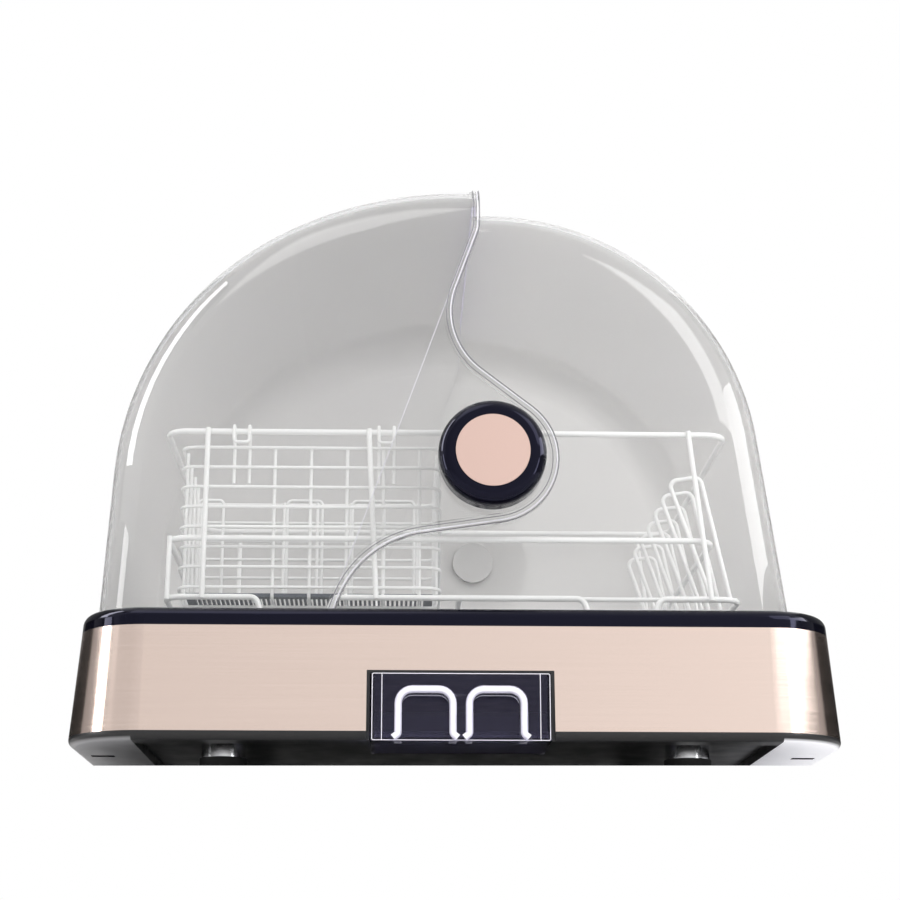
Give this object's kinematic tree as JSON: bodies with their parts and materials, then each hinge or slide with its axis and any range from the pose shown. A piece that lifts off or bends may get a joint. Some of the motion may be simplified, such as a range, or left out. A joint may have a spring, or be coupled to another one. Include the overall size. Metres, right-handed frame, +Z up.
{
  "type": "dish sterilizer cabinet",
  "caption": "Countertop dish sterilizer: drafted base with a drip drawer, clear dome whose half swings over the other, wire dish rack with a cutlery basket, lamp and warm-air blower.",
  "frame": {"origin": "on the floor under the middle of the whole object's bounding box", "axes": "+X to the right, +Y to the rear (the drawer and the front pivot cap face -Y), +Z up"},
  "size_m": [0.4892, 0.3766, 0.3985],
  "materials": {
    "navy_gloss": "gloss",
    "black_plastic": "satin",
    "rose_gold": "brushed",
    "silver": "satin",
    "steel": "satin",
    "clear_shell": "clear",
    "clear_tray": "clear",
    "clear_seal": "clear",
    "white_coating": "gloss",
    "slate_plastic": "satin",
    "rubber": "matte",
    "grey_silicone": "matte",
    "white_plastic": "satin",
    "lamp_glass": "clear",
    "circuit_green": "satin",
    "component_black": "matte",
    "heater_metal": "satin",
    "brass": "satin"
  },
  "bodies": {
    "base": {"base_tub": "black_plastic", "trim_band": "rose_gold", "top_rim": "navy_gloss", "basin": "steel", "foot_collars": "silver", "rubber_feet": "rubber", "foot_screws": "steel", "casing_screws": "steel", "drawer_bay": "black_plastic", "drain_spout": "grey_silicone", "fixed_shell": "clear_shell", "fixed_shell_screws": "steel", "lid_gasket": "grey_silicone", "crown_seal": "clear_seal", "reed_switch": "white_plastic", "air_grille": "steel", "fan_housing": "white_plastic", "fan_motor": "steel", "heater_housing": "white_plastic", "ptc_heater": "heater_metal", "thermal_cutout": "steel", "uv_lamp": "lamp_glass", "lamp_holders": "white_plastic", "lamp_ballast": "component_black", "control_board": "circuit_green", "board_screws": "steel", "board_components": "component_black", "mains_inlet": "component_black", "inlet_pins": "brass", "inlet_screws": "steel", "button_bezel": "navy_gloss", "button_switch": "component_black", "front_pivot_pin": "steel", "front_pivot_washer": "steel", "front_pivot_screw": "steel", "rear_pivot_pin": "steel", "rear_pivot_washer": "steel", "rear_pivot_screw": "steel"},
    "lid": {"lid_shell": "clear_shell", "lid_magnet": "steel", "front_pivot_bush": "white_plastic", "front_pivot_cap": "navy_gloss", "front_cap_disc": "rose_gold", "rear_pivot_bush": "white_plastic", "rear_pivot_cap": "navy_gloss", "rear_cap_disc": "rose_gold"},
    "drawer": {"drip_drawer": "clear_tray"},
    "impeller": {"fan_impeller": "component_black", "fan_shaft": "steel"},
    "button": {"power_button": "navy_gloss"},
    "rack": {"rack_rails": "white_coating", "rack_posts": "white_coating", "rack_floor_wires": "white_coating", "plate_loops": "white_coating", "rack_sleeves": "grey_silicone"},
    "basket": {"basket_rings": "white_coating", "basket_ribs": "white_coating", "basket_hooks": "white_coating", "basket_dividers": "white_coating", "basket_mat": "slate_plastic"}
  },
  "joints": [
    {"name": "lid_hinge", "type": "hinge", "parent": "base", "child": "lid", "pos_m": [0.0225, 0.0035, 0.2005], "axis": [0, 1, 0], "range_deg": [0, 90]},
    {"name": "drawer_slide", "type": "slide", "parent": "base", "child": "drawer", "axis": [0, -1, 0], "range_m": [0, 0.15]},
    {"name": "impeller_spin", "type": "hinge", "parent": "base", "child": "impeller", "pos_m": [0.135, 0.0735, 0.036], "axis": [0, 0, 1], "continuous": true},
    {"name": "power_button_press", "type": "slide", "parent": "base", "child": "button", "axis": [-1, 0, 0], "range_m": [0, 0.0025], "stiffness_N_per_m": 400, "springref_m": -0.001},
    {"name": "rack_lift", "type": "slide", "parent": "base", "child": "rack", "axis": [0, 0, 1], "range_m": [0, 0.04]},
    {"name": "basket_lift", "type": "slide", "parent": "rack", "child": "basket", "axis": [0, 0, 1], "range_m": [0, 0.05]}
  ]
}
